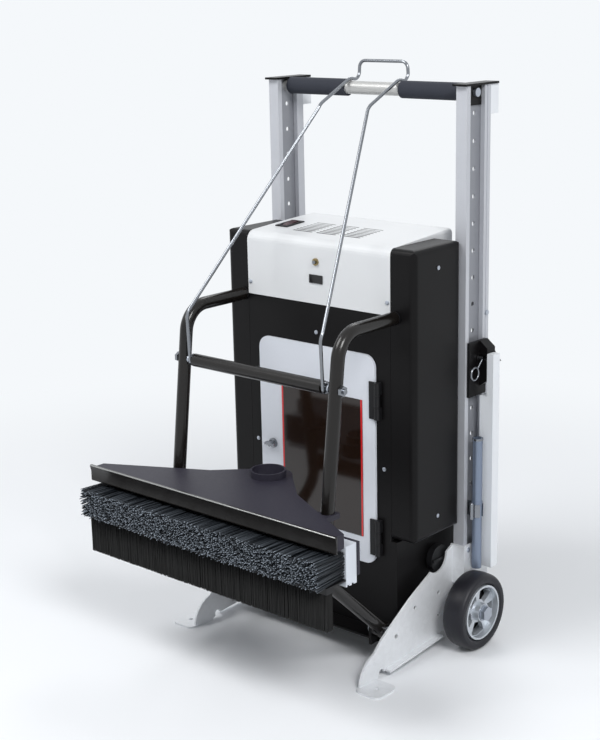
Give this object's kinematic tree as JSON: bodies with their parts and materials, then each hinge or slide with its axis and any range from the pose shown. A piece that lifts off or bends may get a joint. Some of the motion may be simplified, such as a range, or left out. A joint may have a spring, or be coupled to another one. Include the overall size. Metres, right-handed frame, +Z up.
{
  "type": "escalator cleaning machine",
  "caption": "Upright escalator cleaning machine with a swinging brush and suction head, wire bail, two wheels, sliding rear legs and a vacuum cabinet with a hinged filter door.",
  "frame": {"origin": "on the floor, at the middle of the bounding box's underside", "axes": "+X to the machine's right as seen from the front, +Y to its back, +Z up; the brush head is at the front, at -Y"},
  "size_m": [0.617, 0.602, 1.1163],
  "materials": {
    "painted_black": "satin",
    "painted_white": "satin",
    "bare_aluminium": "satin",
    "bar_tube": "satin",
    "foam_rubber": "matte",
    "zinc_steel": "satin",
    "tyre_rubber": "matte",
    "bag_cloth": "matte",
    "black_plastic": "satin",
    "red_plastic": "gloss",
    "brass": "polished",
    "bright_chrome": "polished",
    "painted_gray": "satin",
    "gloss_label": "gloss",
    "tube_black": "satin",
    "slate_paint": "satin",
    "white_plastic": "satin",
    "gray_bristle": "matte",
    "black_bristle": "matte"
  },
  "bodies": {
    "chassis": {"cabinet": "painted_black", "front_panel": "painted_black", "base_plate": "painted_black", "top_cover": "painted_white", "side_cover_left": "painted_black", "side_cover_right": "painted_black", "cross_rails": "painted_black", "upright_left": "bare_aluminium", "upright_right": "bare_aluminium", "end_plates": "painted_black", "rest_blocks": "painted_white", "handle_bar": "bar_tube", "grip_left": "foam_rubber", "grip_right": "foam_rubber", "foot_left": "bare_aluminium", "foot_right": "bare_aluminium", "axle": "zinc_steel", "axle_nuts": "zinc_steel", "vacuum_motor": "bare_aluminium", "fan_housing": "bare_aluminium", "filter_bag": "bag_cloth", "inlet_collar": "black_plastic", "switch_bezel": "black_plastic", "breaker_ring": "brass", "hour_meter": "black_plastic", "cover_screws": "bright_chrome", "frame_bolts": "bright_chrome", "hinge_frame": "black_plastic", "pivot_bolts": "bright_chrome", "wand_clip": "bright_chrome"},
    "wheel_left": {"tyre_left": "tyre_rubber", "hub_left": "zinc_steel"},
    "wheel_right": {"tyre_right": "tyre_rubber", "hub_right": "zinc_steel"},
    "head": {"arm_left": "tube_black", "arm_right": "tube_black", "arm_caps": "black_plastic", "crossbar": "tube_black", "cross_rod": "bright_chrome", "hood": "slate_paint", "lip": "slate_paint", "brush_block": "white_plastic", "riser_bristles": "gray_bristle", "skirt_holder": "slate_paint", "skirt_bristles": "black_bristle"},
    "bail": {"bail": "bright_chrome"},
    "door": {"door": "painted_gray", "door_label": "gloss_label", "hinge_leaves": "black_plastic"},
    "latch": {"latch": "bright_chrome"},
    "rocker": {"rocker": "red_plastic"},
    "breaker_button": {"breaker_button": "bright_chrome"},
    "port_cap": {"port_cap": "black_plastic"},
    "wand": {"wand": "zinc_steel"},
    "slide_left": {"slide_bracket_left": "black_plastic"},
    "slide_right": {"slide_bracket_right": "black_plastic"},
    "plunger_left": {"plunger_left": "bright_chrome"},
    "plunger_right": {"plunger_right": "bright_chrome"},
    "leg_left": {"leg_left": "painted_white"},
    "leg_right": {"leg_right": "painted_white"}
  },
  "joints": [
    {"name": "wheel_left_spin", "type": "hinge", "parent": "chassis", "child": "wheel_left", "pos_m": [-0.276, 0.193, 0.0762], "axis": [1, 0, 0], "continuous": true},
    {"name": "wheel_right_spin", "type": "hinge", "parent": "chassis", "child": "wheel_right", "pos_m": [0.276, 0.193, 0.0762], "axis": [1, 0, 0], "continuous": true},
    {"name": "head_swing", "type": "hinge", "parent": "chassis", "child": "head", "pos_m": [0, 0.012, 0.0756], "axis": [1, 0, 0], "range_deg": [0, 35]},
    {"name": "bail_swing", "type": "hinge", "parent": "head", "child": "bail", "pos_m": [0, -0.11249, 0.574], "axis": [1, 0, 0], "range_deg": [0, 110]},
    {"name": "door_hinge", "type": "hinge", "parent": "chassis", "child": "door", "pos_m": [0.1495, 0.0505, 0.374], "axis": [0, 0, 1], "range_deg": [0, 28]},
    {"name": "latch_turn", "type": "hinge", "parent": "door", "child": "latch", "pos_m": [-0.115, 0.049, 0.377], "axis": [0, 1, 0], "range_deg": [0, 90]},
    {"name": "rocker_tip", "type": "hinge", "parent": "chassis", "child": "rocker", "pos_m": [-0.14, 0.14229, 0.79679], "axis": [-1, 0, 0], "range_deg": [0, 16]},
    {"name": "breaker_press", "type": "slide", "parent": "chassis", "child": "breaker_button", "axis": [0, 1, 0], "range_m": [0, 0.004], "stiffness_N_per_m": 300},
    {"name": "cap_turn", "type": "hinge", "parent": "chassis", "child": "port_cap", "pos_m": [0.2, 0.17, 0.174], "axis": [1, 0, 0], "range_deg": [0, 90]},
    {"name": "wand_lift", "type": "slide", "parent": "chassis", "child": "wand", "axis": [0, 0, 1], "range_m": [0, 0.1]},
    {"name": "slide_left_lift", "type": "slide", "parent": "chassis", "child": "slide_left", "axis": [0, 0, 1], "range_m": [0, 0.4064]},
    {"name": "plunger_left_push", "type": "slide", "parent": "slide_left", "child": "plunger_left", "axis": [1, 0, 0], "range_m": [0, 0.005]},
    {"name": "leg_left_swing", "type": "hinge", "parent": "slide_left", "child": "leg_left", "pos_m": [-0.271, 0.251, 0.552], "axis": [1, 0, 0], "range_deg": [0, 75]},
    {"name": "slide_right_lift", "type": "slide", "parent": "chassis", "child": "slide_right", "axis": [0, 0, 1], "range_m": [0, 0.4064]},
    {"name": "plunger_right_push", "type": "slide", "parent": "slide_right", "child": "plunger_right", "axis": [-1, 0, 0], "range_m": [0, 0.005]},
    {"name": "leg_right_swing", "type": "hinge", "parent": "slide_right", "child": "leg_right", "pos_m": [0.271, 0.251, 0.552], "axis": [1, 0, 0], "range_deg": [0, 75]}
  ]
}
